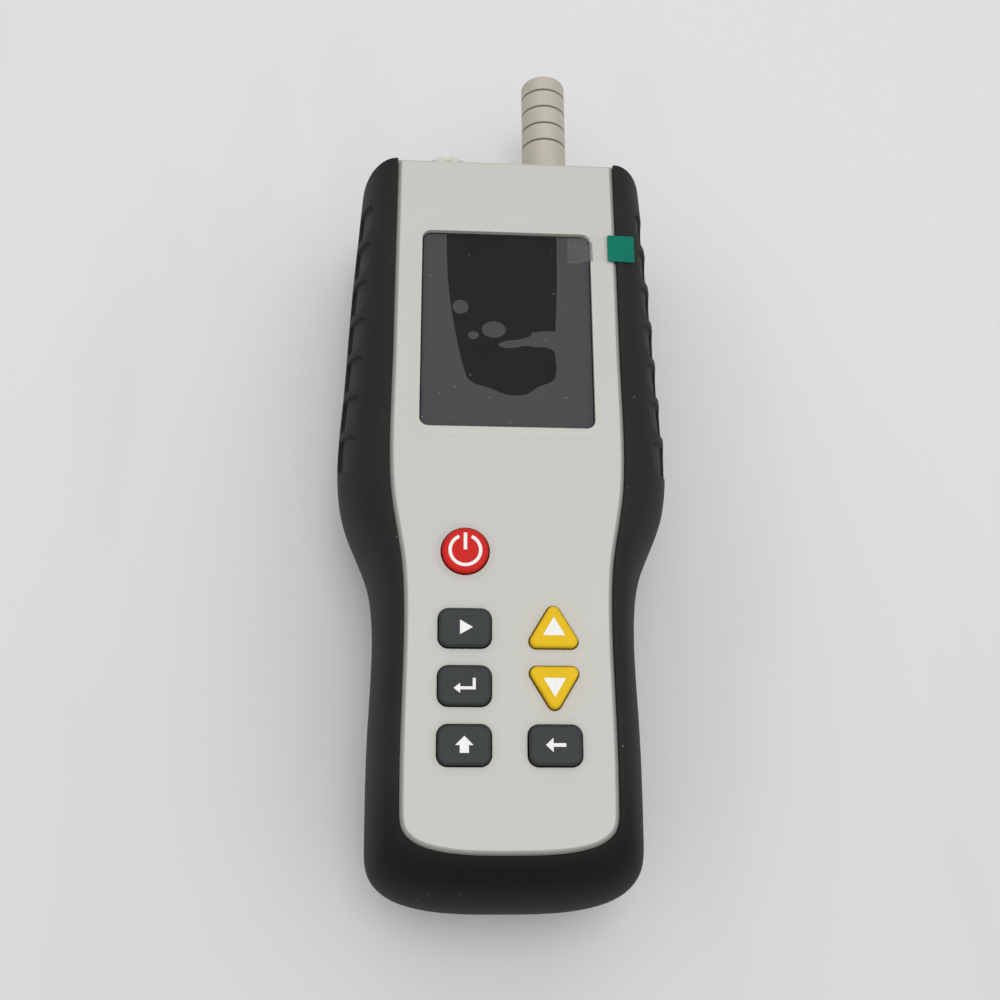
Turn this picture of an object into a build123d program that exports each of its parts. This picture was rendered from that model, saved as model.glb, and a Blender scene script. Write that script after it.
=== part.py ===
from build123d import *
import math
import os

# A handheld airborne particle counter, lying on its back.  Millimetres.
# x runs to the right, y from the bottom end of the boot to the air inlet, z from the back to the keys.
# Every piece is built with y = 0 at the bottom end, and `write` moves it so that y = 0 is mid length.

# ---------------------------------------------------------------- outer form
BODY_LENGTH = 165.5        # bottom end of the boot to the flat top end
BODY_DEPTH = 46.0          # back of the boot to the face plate
INLET_TIP = 202.1          # y of the free end of the inlet nozzle
HANDLE_WIDTH = 57.8
HEAD_WIDTH = 74.6          # where the waist ends; the swell beyond it carries the outline to 75
TOP_WIDTH = 68.0           # at the flat top end
END_RISE = 13.5            # y that the rounded bottom end takes up
WAIST_LOW = 62.0           # y where the handle starts to widen
WAIST_HIGH = 91.0          # y where the head has its full width
CORNER_POWER = 3.0         # squareness of the rounded bottom end
TAPER_POWER = 1.6          # how late the head narrows towards the top
BULGE_POWER = 0.55         # roundness of the shoulders in section

FACE_HANDLE_WIDTH = 42.9   # face plate across the handle
FACE_HEAD_WIDTH = 50.1
FACE_TOP_WIDTH = 49.7
FACE_END = 10.8            # y of the lower edge of the face plate
FACE_RISE = 8.5
FACE_BEVEL = 0.9

LIP_RISE = 0.35            # the boot's lip stands proud of the face plate
LIP_SHARE = 0.05           # flat top of the lip, as a share of the shoulder
FOOT_SHARE = 0.45          # where the flat foot ring ends on the back
PAD_SHARE = 0.2            # where the rear shell's pad ends inside the foot ring
PAD_RECESS = 0.6           # the rear pad lies this far inside the foot ring

# ---------------------------------------------------------------- walls and fits
BOOT_WALL = 2.75
BOOT_FRONT_COVER = 2.4     # rubber over the shells, measured from the face and from the back
BOOT_FIT = 0.05
BOOT_END_STEP = 0.3        # the boot stops short of the shells' flat top end
SHELL_WALL = 2.2
PARTING = 22.0             # height where the two shells meet
SHOULDER_ALLOWANCE = 1.0   # extra wall where the shoulder runs into the face plate
OVERRUN = 8.0              # the lofted forms run on past the top end, which is then cut flat

# ---------------------------------------------------------------- finger pockets in the boot
POCKET_COUNT = 7
POCKET_PITCH = 9.55
POCKET_FIRST = 153.4       # y of the middle of the pocket nearest the top
POCKET_LENGTH = 7.2
POCKET_HEIGHT = 15.0
POCKET_CORNER = 2.7
POCKET_DEPTH = 1.0
POCKET_RIM_EDGE = 0.45     # rounding where a pocket meets the flank
POCKET_FLOOR_EDGE = 0.45   # rounding round its floor
POCKET_MIDDLE = 34.6       # height of the pockets' middles
POCKET_LEAN = 14.0         # degrees
NOTCH_Y = 20.0             # small witness notch on each side of the grip
NOTCH_SIZE = 0.5
NOTCH_LENGTH = 9.0

# ---------------------------------------------------------------- display
WINDOW_WIDTH = 38.0
WINDOW_HEIGHT = 47.6
WINDOW_LOW = 99.0
WINDOW_CORNER = 2.0
WINDOW_RIM = 2.2
WINDOW_RIM_RISE = 0.2
WINDOW_RIM_SLOPE = 1.7     # width of its sloped edge
WINDOW_RECESS = 1.0
LENS_OVERLAP = 2.0
LENS_THICKNESS = 1.5
LENS_FIT = 0.1
GASKET_THICKNESS = 0.6
LCD_THICKNESS = 1.2
BACKLIGHT_THICKNESS = 1.9
LCD_MARGIN = 1.5           # each side, beyond the window
HOLDER_WALL = 2.0
FILM_THICKNESS = 0.15
FILM_MARGIN = 0.3          # film inside the window, each side
TAPE_THICKNESS = 0.1
TAPE_START = 13.9          # x on the film
TAPE_LOW = 139.7
TAPE_WIDTH = 6.6
TAB_THICKNESS = 0.2
TAB_START = 22.9           # x on the face plate
TAB_LENGTH = 6.1
TAB_DROOP = 3.0            # degrees

# ---------------------------------------------------------------- keys
COLUMN_X = 9.0             # left and right key columns
KEY_WIDTH = 10.45
KEY_HEIGHT = 7.8
KEY_CORNER = 2.0
KEY_PITCH = 11.7
TOP_ROW_Y = 54.95
POWER_Y = 71.1
POWER_RADIUS = 4.8
ARROW_WIDTH = 9.65
ARROW_HEIGHT = 8.45
ARROW_CORNER = 1.3
ARROW_SHIFT = 0.33         # the arrow keys stand this much apart from their rows
ARROW_FOOT = 2.0           # radius
KEY_RISE = 1.4             # key tops above the face plate
KEY_EDGE = 0.6             # rounding of the key tops
KEY_GAP = 0.3              # round each key, in its hole
KEY_TRAVEL = 0.6
PILL_CLEARANCE = 0.15      # pill to board, with the key fully down
KEY_FLANGE = 0.6           # each side
KEY_FLANGE_THICKNESS = 1.0
KEY_FLANGE_GAP = 0.3
FOOT_INSET = 1.5           # the key's foot is this much smaller than its cap
FOOT_GAP = 0.5             # round each foot, in the mat
PILL_RADIUS = 1.6
PILL_THICKNESS = 0.35
COLLAR_WIDTH = 1.0         # raised ring round the power key
COLLAR_RISE = 0.3
COLLAR_SLOPE = 0.8         # width of its sloped edge
MAT_THICKNESS = 0.8
MAT_WIDTH = 30.0
MAT_LOW = 26.5
MAT_HIGH = 77.5

# ---------------------------------------------------------------- circuit board
BOARD_TOP = 36.2
BOARD_THICKNESS = 1.6
BOARD_LOW = 22.5
BOARD_HIGH = 150.0
BOARD_HANDLE_WIDTH = 40.0
BOARD_HEAD_WIDTH = 54.0
BOARD_POSTS = ((17.8, 25.2), (24.3, 146.5))
BOARD_POST_RADIUS = 2.2
SMALL_SCREW = 1.0          # thread radius
SMALL_HEAD = 1.9
SMALL_HEAD_THICKNESS = 1.3
SMALL_SCREW_LENGTH = 5.0
BUZZER_RADIUS = 4.5
BUZZER_HEIGHT = 4.5
BUZZER_AT = (10.0, 84.0)
# chips on the board: x and y of the middle, then width, length and height
CHIPS = ((-8.0, 85.0, 10.0, 10.0, 1.4), (-17.5, 89.0, 5.0, 6.0, 1.0), (19.0, 89.0, 4.0, 6.0, 1.0))

# ---------------------------------------------------------------- shell screws
SHELL_POSTS = ((15.5, 14.5), (22.0, 157.5))
POST_RADIUS = 3.4
SHELL_SCREW = 1.3
SHELL_HEAD = 2.5
SHELL_HEAD_THICKNESS = 2.0
SHELL_SCREW_SEAT = 8.0     # height where the screw heads sit
SHELL_SCREW_LENGTH = 22.0
SCREW_FIT = 0.1

# ---------------------------------------------------------------- battery
BATTERY_LOW = 24.0
BATTERY_LENGTH = 54.0
BATTERY_FLOOR = 5.2
CELL_RADIUS = 9.2
BATTERY_GAP = 0.5          # round the pack, in its opening
DOOR_MARGIN = 3.0          # door beyond the opening at the sides
DOOR_TONGUE = 4.0          # door beyond the opening at the ends, where the screws are
DOOR_THICKNESS = 1.8
DOOR_CORNER = 3.0
DOOR_GAP = 0.2
DOOR_LEDGE = 1.8

# ---------------------------------------------------------------- tripod insert
TRIPOD_Y = 90.0
TRIPOD_RADIUS = 4.5
TRIPOD_LENGTH = 9.0
TRIPOD_BORE = 2.55         # for a 1/4-20 screw
TRIPOD_BOSS = 6.2

# ---------------------------------------------------------------- air path
INLET_X = 11.1
INLET_Z = 25.0
NOZZLE_RADIUS = 5.47
NOZZLE_BORE = 1.9
NOZZLE_EDGE = 0.9
GROOVE_FIRST = 4.26        # from the tip
GROOVE_PITCH = 4.89
GROOVE_COUNT = 4
GROOVE_WIDTH = 0.7
GROOVE_DEPTH = 0.4
NECK_RADIUS = 4.0
NECK_FIT = 0.1
SEAL_THICKNESS = 1.0
SEAL_RADIUS = 6.4
NUT_ACROSS = 11.0
NUT_THICKNESS = 3.0
BARB_RADIUS = 2.8
BARB_LENGTH = 6.5
HOSE_WALL = 1.3
HOSE_FIT = 0.05
SPIGOT_LENGTH = 4.5

SENSOR_LOW = 124.0
SENSOR_HIGH = 148.0
SENSOR_LEFT = -16.0
SENSOR_RIGHT = 22.0
SENSOR_BOTTOM = 15.0
SENSOR_BOARD_GAP = 0.3
SENSOR_LID = 2.0
SENSOR_SCREW_INSET = 3.0
LASER_RADIUS = 3.3
LASER_LENGTH = 20.0
LASER_REACH = 8.0          # laser tube left standing out of the block
DETECTOR_SIZE = 14.0
DETECTOR_THICKNESS = 1.2

FAN_X = 16.0
FAN_Y = 109.0
FAN_SIZE = 23.0
FAN_FLOOR = 5.0
FAN_HEIGHT = 8.0
FAN_BORE = 10.6
FAN_HUB = 4.2
FAN_HUB_HEIGHT = 5.0
FAN_BLADES = 7
FAN_BLADE_GAP = 0.6
FAN_BLADE_THICKNESS = 0.8
FAN_BLADE_TWIST = 38.0     # degrees
FAN_BASE = 1.2             # spoked floor of the housing
FAN_SPOKE = 1.6
FAN_PIN = 0.75
FAN_PIN_FIT = 0.05
FAN_LIFT = 0.3             # rotor above the housing's hub
FAN_POST_RADIUS = 2.0
FAN_POST_INSET = 2.2
DUCT_WALL = 1.5
DUCT_TOP = 29.0
GRILLE_SLOTS = 5
GRILLE_PITCH = 3.2
GRILLE_SLOT_WIDTH = 1.6
GRILLE_SLOT_LENGTH = 15.0

# ---------------------------------------------------------------- climate sensor
CLIMATE_X = -13.2
CLIMATE_Z = 25.6
CLIMATE_RADIUS = 5.5
CLIMATE_REACH = 11.5
CLIMATE_WALL = 1.0
CLIMATE_NECK = 3.3
CLIMATE_SLOTS = 10
CLIMATE_SLOT_WIDTH = 1.3
CLIMATE_BOARD_FIT = 0.1     # round the board, in the neck
CLIMATE_BOARD_THICKNESS = 1.0

# ---------------------------------------------------------------- sizes worked out
HEIGHT_LIMIT = 200.0       # larger than the object, for cutting tools
LENS_TOP = BODY_DEPTH - WINDOW_RECESS
LENS_BOTTOM = LENS_TOP - LENS_THICKNESS
LCD_TOP = LENS_BOTTOM - GASKET_THICKNESS
LCD_BOTTOM = LCD_TOP - LCD_THICKNESS
BACKLIGHT_BOTTOM = LCD_BOTTOM - BACKLIGHT_THICKNESS
WINDOW_Y = WINDOW_LOW + WINDOW_HEIGHT / 2
CEILING = BODY_DEPTH - SHELL_WALL
FLOOR = PAD_RECESS + SHELL_WALL
BOARD_BOTTOM = BOARD_TOP - BOARD_THICKNESS
KEY_TOP = BODY_DEPTH + KEY_RISE
PILL_BOTTOM = BOARD_TOP + KEY_TRAVEL + PILL_CLEARANCE
KEY_BOTTOM = PILL_BOTTOM + PILL_THICKNESS
FLANGE_TOP = CEILING - KEY_FLANGE_GAP
FLANGE_BOTTOM = FLANGE_TOP - KEY_FLANGE_THICKNESS
END_WALL_INSIDE = BODY_LENGTH - SHELL_WALL
BATTERY_HIGH = BATTERY_LOW + BATTERY_LENGTH
BATTERY_Y = (BATTERY_LOW + BATTERY_HIGH) / 2
OPENING_WIDTH = 4 * CELL_RADIUS + 2 * BATTERY_GAP
OPENING_LENGTH = BATTERY_LENGTH + 2 * BATTERY_GAP
DOOR_WIDTH = OPENING_WIDTH + 2 * DOOR_MARGIN
DOOR_LENGTH = OPENING_LENGTH + 2 * DOOR_TONGUE
DOOR_TOP = PAD_RECESS + DOOR_THICKNESS
SENSOR_TOP = BOARD_BOTTOM - SENSOR_BOARD_GAP
SENSOR_X = (SENSOR_LEFT + SENSOR_RIGHT) / 2
SENSOR_Y = (SENSOR_LOW + SENSOR_HIGH) / 2
FAN_TOP = FAN_FLOOR + FAN_HEIGHT


# ---------------------------------------------------------------- the family of outlines
def rim(handle, head, top, low, rise, inset=0.0):
    """Right half of an outline, from the middle of the bottom end to past the top end."""
    side = handle / 2 - inset
    points = []
    for step in range(6):
        turn = math.radians(90 * step / 5)
        across = side * math.sin(turn) ** (2 / CORNER_POWER)
        along = low + inset + rise * (1 - math.cos(turn) ** (2 / CORNER_POWER))
        points.append((across, along))
    points.append((side, (points[-1][1] + WAIST_LOW) / 2))
    for step in range(5):
        share = step / 4
        swell = share * share * (3 - 2 * share)
        points.append((side + (head - handle) / 2 * swell, WAIST_LOW + share * (WAIST_HIGH - WAIST_LOW)))
    for step in range(1, 5):
        along = WAIST_HIGH + step / 4 * (BODY_LENGTH + OVERRUN - WAIST_HIGH)
        share = (along - WAIST_HIGH) / (BODY_LENGTH - WAIST_HIGH)
        points.append((head / 2 - inset - (head - top) / 2 * share ** TAPER_POWER, along))
    return points


def outline(share, side_inset=0.0, face_inset=0.0):
    """Outline between the face plate's edge (share 0) and the widest line of the boot (share 1)."""
    inner = rim(FACE_HANDLE_WIDTH, FACE_HEAD_WIDTH, FACE_TOP_WIDTH, FACE_END, FACE_RISE, face_inset)
    outer = rim(HANDLE_WIDTH, HEAD_WIDTH, TOP_WIDTH, 0.0, END_RISE, side_inset)
    right = [(a[0] + share * (b[0] - a[0]), a[1] + share * (b[1] - a[1])) for a, b in zip(inner, outer)]
    left = [(-x, y) for x, y in reversed(right[1:])]
    curve = Spline(*left, *right)
    return make_face([curve, Line(curve @ 1, curve @ 0)])


def cushion(side_inset, back, front, back_share, front_share, face_inset=0.0):
    """Rounded body between two heights, widest half way up."""
    half = (front - back) / 2
    depths = [0.0, 0.04, 0.12, 0.25, 0.45, 0.7, 1.0]
    sections = []
    for depth in depths:
        share = back_share + (1 - back_share) * (1 - (1 - depth) ** 2) ** BULGE_POWER
        sections.append(Pos(0, 0, back + depth * half) * outline(share, side_inset, face_inset))
    for depth in reversed(depths[:-1]):
        share = front_share + (1 - front_share) * (1 - (1 - depth) ** 2) ** BULGE_POWER
        sections.append(Pos(0, 0, front - depth * half) * outline(share, side_inset, face_inset))
    return loft(sections)


def prism(face, low, high):
    return Pos(0, 0, low) * extrude(face, high - low)


def block(x_range, y_range, z_range):
    size = [high - low for low, high in (x_range, y_range, z_range)]
    middle = [(high + low) / 2 for low, high in (x_range, y_range, z_range)]
    return Pos(*middle) * Box(*size)


def post(at, radius, low, high):
    return Pos(at[0], at[1], (low + high) / 2) * Cylinder(radius, high - low)


def rod_y(x, z, radius, low, high):
    return Pos(x, (low + high) / 2, z) * Rot(90, 0, 0) * Cylinder(radius, high - low)


def below_y(limit):
    wide = HEIGHT_LIMIT
    return block((-wide, wide), (-wide, limit), (-wide, wide))


def mirrored(places):
    return [(side * x, y) for x, y in places for side in (-1, 1)]


def union(shapes):
    total = shapes[0]
    for shape in shapes[1:]:
        total = total + shape
    return total


def write(name, shape):
    moved = Pos(0, -INLET_TIP / 2, 0) * shape
    export_step(moved, f"parts/{name}.step")


# ---------------------------------------------------------------- outlines of the keys
def round_triangle(grow, point_up):
    base = ARROW_WIDTH / 2 - ARROW_CORNER
    tall = ARROW_HEIGHT - 2 * ARROW_CORNER
    flip = 1 if point_up else -1
    corners = [(-base, -flip * tall / 2), (base, -flip * tall / 2), (0, flip * tall / 2)]
    core = make_face(Polyline(*corners, close=True))
    return offset(core, ARROW_CORNER + grow, kind=Kind.ARC)


def key_outline(kind, grow=0.0):
    if kind == "round":
        return Circle(POWER_RADIUS + grow)
    if kind == "oblong":
        return RectangleRounded(KEY_WIDTH + 2 * grow, KEY_HEIGHT + 2 * grow, KEY_CORNER + grow)
    return round_triangle(grow, kind == "up")


KEYS = {
    "power_key": ("round", -COLUMN_X, POWER_Y),
    "run_key": ("oblong", -COLUMN_X, TOP_ROW_Y),
    "enter_key": ("oblong", -COLUMN_X, TOP_ROW_Y - KEY_PITCH),
    "shift_key": ("oblong", -COLUMN_X, TOP_ROW_Y - 2 * KEY_PITCH),
    "back_key": ("oblong", COLUMN_X, TOP_ROW_Y - 2 * KEY_PITCH),
    "up_key": ("up", COLUMN_X, TOP_ROW_Y + ARROW_SHIFT),
    "down_key": ("down", COLUMN_X, TOP_ROW_Y - KEY_PITCH - ARROW_SHIFT),
}


def key_prisms(grow, low, high):
    return [Pos(x, y, 0) * prism(key_outline(kind, grow), low, high) for kind, x, y in KEYS.values()]


# ---------------------------------------------------------------- shells and boot
def shell_form(fit=0.0):
    """Both shells as one closed form; `fit` makes it larger all round."""
    low = BOOT_FRONT_COVER - fit
    high = BODY_DEPTH - BOOT_FRONT_COVER + fit
    return cushion(BOOT_WALL - fit, low, high, FOOT_SHARE, LIP_SHARE)


def face_plate():
    plate = prism(outline(0.0), PARTING, BODY_DEPTH) & below_y(BODY_LENGTH)
    top_edges = plate.edges().group_by(Axis.Z)[-1]
    return chamfer(top_edges, FACE_BEVEL)


def rear_pad():
    return prism(outline(PAD_SHARE), PAD_RECESS, PARTING) & below_y(BODY_LENGTH)


def shell_cavity():
    inset = BOOT_WALL + SHELL_WALL
    hollow = cushion(inset, FLOOR, CEILING, 0.35, 0.0, SHELL_WALL + SHOULDER_ALLOWANCE)
    return hollow & below_y(END_WALL_INSIDE)


def window_prism(grow, low, high):
    shape = RectangleRounded(WINDOW_WIDTH + 2 * grow, WINDOW_HEIGHT + 2 * grow, WINDOW_CORNER + grow)
    return Pos(0, WINDOW_Y, 0) * prism(shape, low, high)


def sloped(low_form, slope, rise):
    """Slopes the outer edge of a low flat form gently down to what it stands on."""
    top = low_form.faces().sort_by(Axis.Z)[-1]
    return chamfer(top.edges(), slope, rise * 0.9, reference=top)


def make_front_shell(hollow_form, envelope):
    above = block((-HEIGHT_LIMIT, HEIGHT_LIMIT), (-HEIGHT_LIMIT, HEIGHT_LIMIT), (PARTING, HEIGHT_LIMIT))
    shell = hollow_form & above
    rim_frame = window_prism(WINDOW_RIM, BODY_DEPTH, BODY_DEPTH + WINDOW_RIM_RISE)
    rim_frame = sloped(rim_frame, WINDOW_RIM_SLOPE, WINDOW_RIM_RISE)
    collar_disc = Circle(POWER_RADIUS + KEY_GAP + COLLAR_WIDTH)
    collar = Pos(-COLUMN_X, POWER_Y, 0) * prism(collar_disc, BODY_DEPTH, BODY_DEPTH + COLLAR_RISE)
    collar = sloped(collar, COLLAR_SLOPE, COLLAR_RISE)
    posts = [post(at, POST_RADIUS, PARTING, CEILING) for at in mirrored(SHELL_POSTS)]
    posts += [post(at, BOARD_POST_RADIUS, BOARD_TOP, CEILING) for at in mirrored(BOARD_POSTS)]
    shell = union([shell, rim_frame, collar, union(posts) & envelope])
    holes = [window_prism(0.0, LENS_TOP, BODY_DEPTH + 1)]
    holes.append(window_prism(LENS_OVERLAP + LENS_FIT, BODY_DEPTH - 2 * SHELL_WALL, LENS_TOP))
    holes += key_prisms(KEY_GAP, FLANGE_BOTTOM, KEY_TOP)
    screw_top = SHELL_SCREW_SEAT + SHELL_SCREW_LENGTH
    holes += [post(at, SHELL_SCREW, PARTING, screw_top + 1) for at in mirrored(SHELL_POSTS)]
    thread_depth = SMALL_SCREW_LENGTH - BOARD_THICKNESS
    holes += [post(at, SMALL_SCREW, BOARD_TOP, BOARD_TOP + thread_depth + 0.5) for at in mirrored(BOARD_POSTS)]
    holes += end_wall_holes()
    return shell - holes


def end_wall_holes():
    low, high = END_WALL_INSIDE - 1, BODY_LENGTH + 1
    inlet = rod_y(INLET_X, INLET_Z, NECK_RADIUS + NECK_FIT, low, high)
    climate = rod_y(CLIMATE_X, CLIMATE_Z, CLIMATE_NECK + NECK_FIT, low, high)
    return [inlet, climate]


def make_rear_shell(hollow_form, envelope):
    under = block((-HEIGHT_LIMIT, HEIGHT_LIMIT), (-HEIGHT_LIMIT, HEIGHT_LIMIT), (-HEIGHT_LIMIT, PARTING))
    shell = hollow_form & under
    inside = []
    for at in mirrored(SHELL_POSTS):
        inside.append(post(at, POST_RADIUS, FLOOR - 1, PARTING))
    ledge_size = (DOOR_WIDTH / 2 + 1, DOOR_LENGTH / 2 + 1)
    ledge_y = (BATTERY_Y - ledge_size[1], BATTERY_Y + ledge_size[1])
    ledge = block((-ledge_size[0], ledge_size[0]), ledge_y, (FLOOR - 1, DOOR_TOP + DOOR_LEDGE))
    inside.append(ledge & (prism(outline(PAD_SHARE), 0, PARTING)))
    inside.append(post((0, TRIPOD_Y), TRIPOD_BOSS, FLOOR - 1, PAD_RECESS + TRIPOD_LENGTH + SHELL_WALL))
    for at in fan_corners():
        inside.append(post(at, FAN_POST_RADIUS, FLOOR - 1, FAN_FLOOR))
    for x in (SENSOR_LEFT + SENSOR_SCREW_INSET, SENSOR_RIGHT - SENSOR_SCREW_INSET):
        rest = block((x - 2, x + 2), (SENSOR_Y - 6, SENSOR_Y + 6), (FLOOR - 1, SENSOR_BOTTOM - SENSOR_LID))
        inside.append(rest)
    shell = shell + (union(inside) & envelope)
    holes = []
    for at in mirrored(SHELL_POSTS):
        holes.append(post(at, SHELL_SCREW + SCREW_FIT, 0, PARTING + 1))
        holes.append(post(at, SHELL_HEAD + SCREW_FIT, -1, SHELL_SCREW_SEAT))
    door = RectangleRounded(DOOR_WIDTH + 2 * DOOR_GAP, DOOR_LENGTH + 2 * DOOR_GAP, DOOR_CORNER + DOOR_GAP)
    holes.append(Pos(0, BATTERY_Y, 0) * prism(door, -1, DOOR_TOP))
    opening = Rectangle(OPENING_WIDTH, OPENING_LENGTH)
    holes.append(Pos(0, BATTERY_Y, 0) * prism(opening, -1, DOOR_TOP + 2 * DOOR_LEDGE))
    holes += [post(at, SMALL_SCREW, DOOR_TOP - 1, DOOR_TOP + DOOR_LEDGE + 1) for at in door_screw_places()]
    holes.append(post((0, TRIPOD_Y), TRIPOD_RADIUS, -1, PAD_RECESS + TRIPOD_LENGTH))
    for slot in range(GRILLE_SLOTS):
        x = FAN_X + (slot - (GRILLE_SLOTS - 1) / 2) * GRILLE_PITCH
        cut = SlotCenterToCenter(GRILLE_SLOT_LENGTH, GRILLE_SLOT_WIDTH, rotation=90)
        holes.append(Pos(x, FAN_Y, 0) * prism(cut, -1, FLOOR + 1))
    holes += end_wall_holes()
    return shell - holes


def make_boot():
    top = BODY_DEPTH + LIP_RISE
    sleeve = cushion(0.0, 0.0, top, FOOT_SHARE, LIP_SHARE) & below_y(BODY_LENGTH - BOOT_END_STEP)
    floor_of_pockets = cushion(POCKET_DEPTH, POCKET_DEPTH, top - POCKET_DEPTH, FOOT_SHARE, LIP_SHARE)
    side_view = Plane.YZ * RectangleRounded(POCKET_LENGTH, POCKET_HEIGHT, POCKET_CORNER)
    tool = Rot(POCKET_LEAN, 0, 0) * extrude(side_view, HEAD_WIDTH, both=True)
    tools = [Pos(0, POCKET_FIRST - k * POCKET_PITCH, POCKET_MIDDLE) * tool for k in range(POCKET_COUNT)]
    pockets = union(tools) - floor_of_pockets
    sleeve = sleeve - pockets.solids()
    flank = sleeve.faces().sort_by(SortBy.AREA)[-1]
    rims = [edge for wire in flank.inner_wires() for edge in wire.edges()]
    sleeve = fillet(rims, POCKET_RIM_EDGE)
    floors = sleeve.faces().sort_by(SortBy.AREA)[-4 - 2 * POCKET_COUNT:-4]
    sleeve = fillet([edge for floor in floors for edge in floor.edges()], POCKET_FLOOR_EDGE)
    sleeve = sleeve - shell_form(BOOT_FIT)
    sleeve = sleeve - prism(outline(0.0, face_inset=-BOOT_FIT), PARTING, top + 1)
    sleeve = sleeve - prism(outline(PAD_SHARE, -BOOT_FIT, -BOOT_FIT), -1, PARTING)
    notch_low, notch_high = PARTING - NOTCH_LENGTH / 2, PARTING + NOTCH_LENGTH / 2
    notches = [post((side * HANDLE_WIDTH / 2, NOTCH_Y), NOTCH_SIZE, notch_low, notch_high) for side in (-1, 1)]
    return sleeve - notches


# ---------------------------------------------------------------- display stack
def make_lens():
    return window_prism(LENS_OVERLAP, LENS_BOTTOM, LENS_TOP)


def make_film():
    return window_prism(-FILM_MARGIN, LENS_TOP, LENS_TOP + FILM_THICKNESS)


def make_tape():
    """Clear strip that climbs from the film over the window's edge to the tab."""
    low = LENS_TOP + FILM_THICKNESS
    high = BODY_DEPTH + WINDOW_RIM_RISE
    edge = WINDOW_WIDTH / 2
    thick = TAPE_THICKNESS
    end = TAB_START + 1.0
    under = [(TAPE_START, low), (edge - 2.4, low), (edge - 1.3, high), (end, high)]
    over = [(x, z + thick) for x, z in reversed(under)]
    side_view = make_face(Polyline(*under, *over, close=True))
    return Pos(0, TAPE_LOW + TAPE_WIDTH, 0) * extrude(Plane.XZ * side_view, TAPE_WIDTH)


def make_tab():
    sheet = RectangleRounded(TAB_LENGTH, TAPE_WIDTH, 0.4)
    flat = Pos(TAB_LENGTH / 2, 0, 0) * extrude(sheet, TAB_THICKNESS)
    height = BODY_DEPTH + LIP_RISE + 0.2
    return Pos(TAB_START, TAPE_LOW + TAPE_WIDTH / 2, height) * Rot(0, TAB_DROOP, 0) * flat


def make_gasket():
    ring = window_prism(LCD_MARGIN, LCD_TOP, LENS_BOTTOM)
    return ring - window_prism(-0.5, LCD_TOP - 1, LENS_BOTTOM + 1)


def make_lcd_holder():
    ring = window_prism(HOLDER_WALL, BOARD_TOP, BACKLIGHT_BOTTOM)
    return ring - window_prism(0.0, BOARD_TOP - 1, BACKLIGHT_BOTTOM + 1)


# ---------------------------------------------------------------- keys
def make_key(kind, x, y):
    cap = prism(key_outline(kind), FLANGE_TOP, KEY_TOP)
    cap = fillet(cap.edges().group_by(Axis.Z)[-1], KEY_EDGE)
    flange = prism(key_outline(kind, KEY_FLANGE), FLANGE_BOTTOM, FLANGE_TOP)
    foot = prism(key_foot(kind), KEY_BOTTOM, FLANGE_BOTTOM)
    return Pos(x, y, 0) * (cap + flange + foot)


def key_foot(kind, grow=0.0):
    if kind == "oblong":
        inset = grow - FOOT_INSET
        return RectangleRounded(KEY_WIDTH + 2 * inset, KEY_HEIGHT + 2 * inset, 0.5 + grow)
    if kind == "round":
        return Circle(POWER_RADIUS - FOOT_INSET + grow)
    return Circle(ARROW_FOOT + grow)


def make_pill(x, y):
    return post((x, y), PILL_RADIUS, PILL_BOTTOM, KEY_BOTTOM)


def make_key_mat():
    shape = RectangleRounded(MAT_WIDTH, MAT_HIGH - MAT_LOW, 1.5)
    mat = Pos(0, (MAT_HIGH + MAT_LOW) / 2, 0) * prism(shape, BOARD_TOP, BOARD_TOP + MAT_THICKNESS)
    holes = []
    for kind, x, y in KEYS.values():
        hole = prism(key_foot(kind, FOOT_GAP), BOARD_TOP - 1, BOARD_TOP + MAT_THICKNESS + 1)
        holes.append(Pos(x, y, 0) * hole)
    return mat - holes


# ---------------------------------------------------------------- circuit board
def make_board():
    narrow, wide = BOARD_HANDLE_WIDTH / 2, BOARD_HEAD_WIDTH / 2
    right = [(narrow, BOARD_LOW), (narrow, WAIST_LOW + 8), (wide, WAIST_HIGH), (wide, BOARD_HIGH)]
    left = [(-x, y) for x, y in reversed(right)]
    board = prism(make_face(Polyline(*right, *left, close=True)), BOARD_BOTTOM, BOARD_TOP)
    holes = [post(at, SMALL_SCREW + SCREW_FIT, BOARD_BOTTOM - 1, BOARD_TOP + 1) for at in mirrored(BOARD_POSTS)]
    return board - holes


def make_chips():
    chips = []
    for x, y, wide, long, tall in CHIPS:
        chip = block((x - wide / 2, x + wide / 2), (y - long / 2, y + long / 2), (BOARD_TOP, BOARD_TOP + tall))
        chips.append(chip)
    return Compound(chips)


def screw(at, radius, head, head_thickness, length, seat, up=True):
    """Pan-head screw: its head is outside `seat` and its shank runs up or down from it."""
    way = 1 if up else -1
    shank = post(at, radius, *sorted((seat, seat + way * length)))
    cap = post(at, head, *sorted((seat, seat - way * head_thickness)))
    slot_low, slot_high = sorted((seat - way * head_thickness, seat - way * head_thickness / 2))
    slot = block((at[0] - head, at[0] + head), (at[1] - head / 8, at[1] + head / 8), (slot_low, slot_high))
    cross = block((at[0] - head / 8, at[0] + head / 8), (at[1] - head, at[1] + head), (slot_low, slot_high))
    inner = post(at, head * 0.65, slot_low, slot_high)
    return shank + cap - (slot & inner) - (cross & inner)


def small_screws(places, seat, up, length=SMALL_SCREW_LENGTH):
    return Compound([screw(at, SMALL_SCREW, SMALL_HEAD, SMALL_HEAD_THICKNESS, length, seat, up) for at in places])


def make_shell_screws():
    screws = []
    for at in mirrored(SHELL_POSTS):
        made = screw(at, SHELL_SCREW, SHELL_HEAD, SHELL_HEAD_THICKNESS, SHELL_SCREW_LENGTH, SHELL_SCREW_SEAT)
        screws.append(made)
    return Compound(screws)


# ---------------------------------------------------------------- battery
def door_screw_places():
    away = OPENING_LENGTH / 2 + DOOR_TONGUE / 2
    return [(0, BATTERY_Y - away), (0, BATTERY_Y + away)]


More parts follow.
